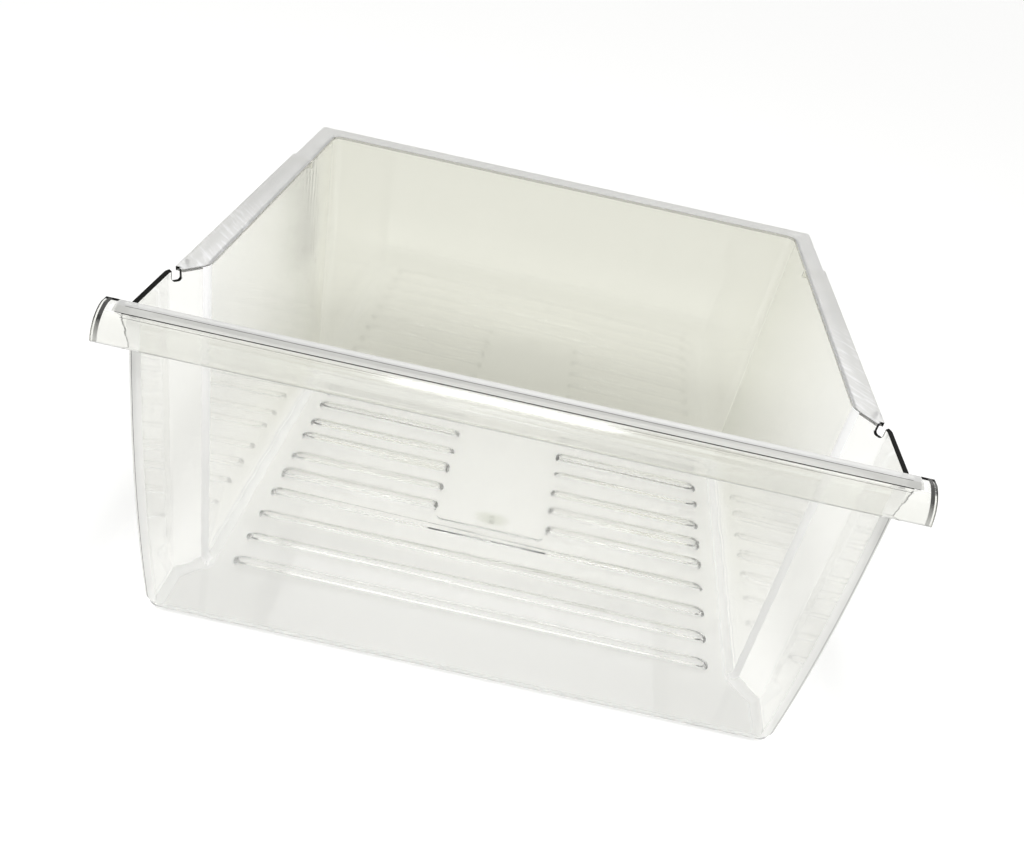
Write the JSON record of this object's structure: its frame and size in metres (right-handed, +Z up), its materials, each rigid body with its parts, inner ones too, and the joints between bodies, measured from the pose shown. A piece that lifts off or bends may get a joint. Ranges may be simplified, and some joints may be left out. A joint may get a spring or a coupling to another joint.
{
  "type": "fridge crisper drawer",
  "caption": "Clear moulded fridge drawer with a curved pull hood along the front, wider front section, rim flanges that hang on runners, and raised ridges across the floor.",
  "frame": {"origin": "on the standing surface, under the middle of the drawer's outline", "axes": "+X across the drawer, to the right seen from the front; +Y from the pull hood to the rear wall; +Z up"},
  "size_m": [0.42, 0.3424, 0.21],
  "materials": {
    "clear_polystyrene": "clear, moulded, polished"
  },
  "bodies": {
    "root": {"crisper_drawer": "clear_polystyrene"}
  },
  "joints": []
}
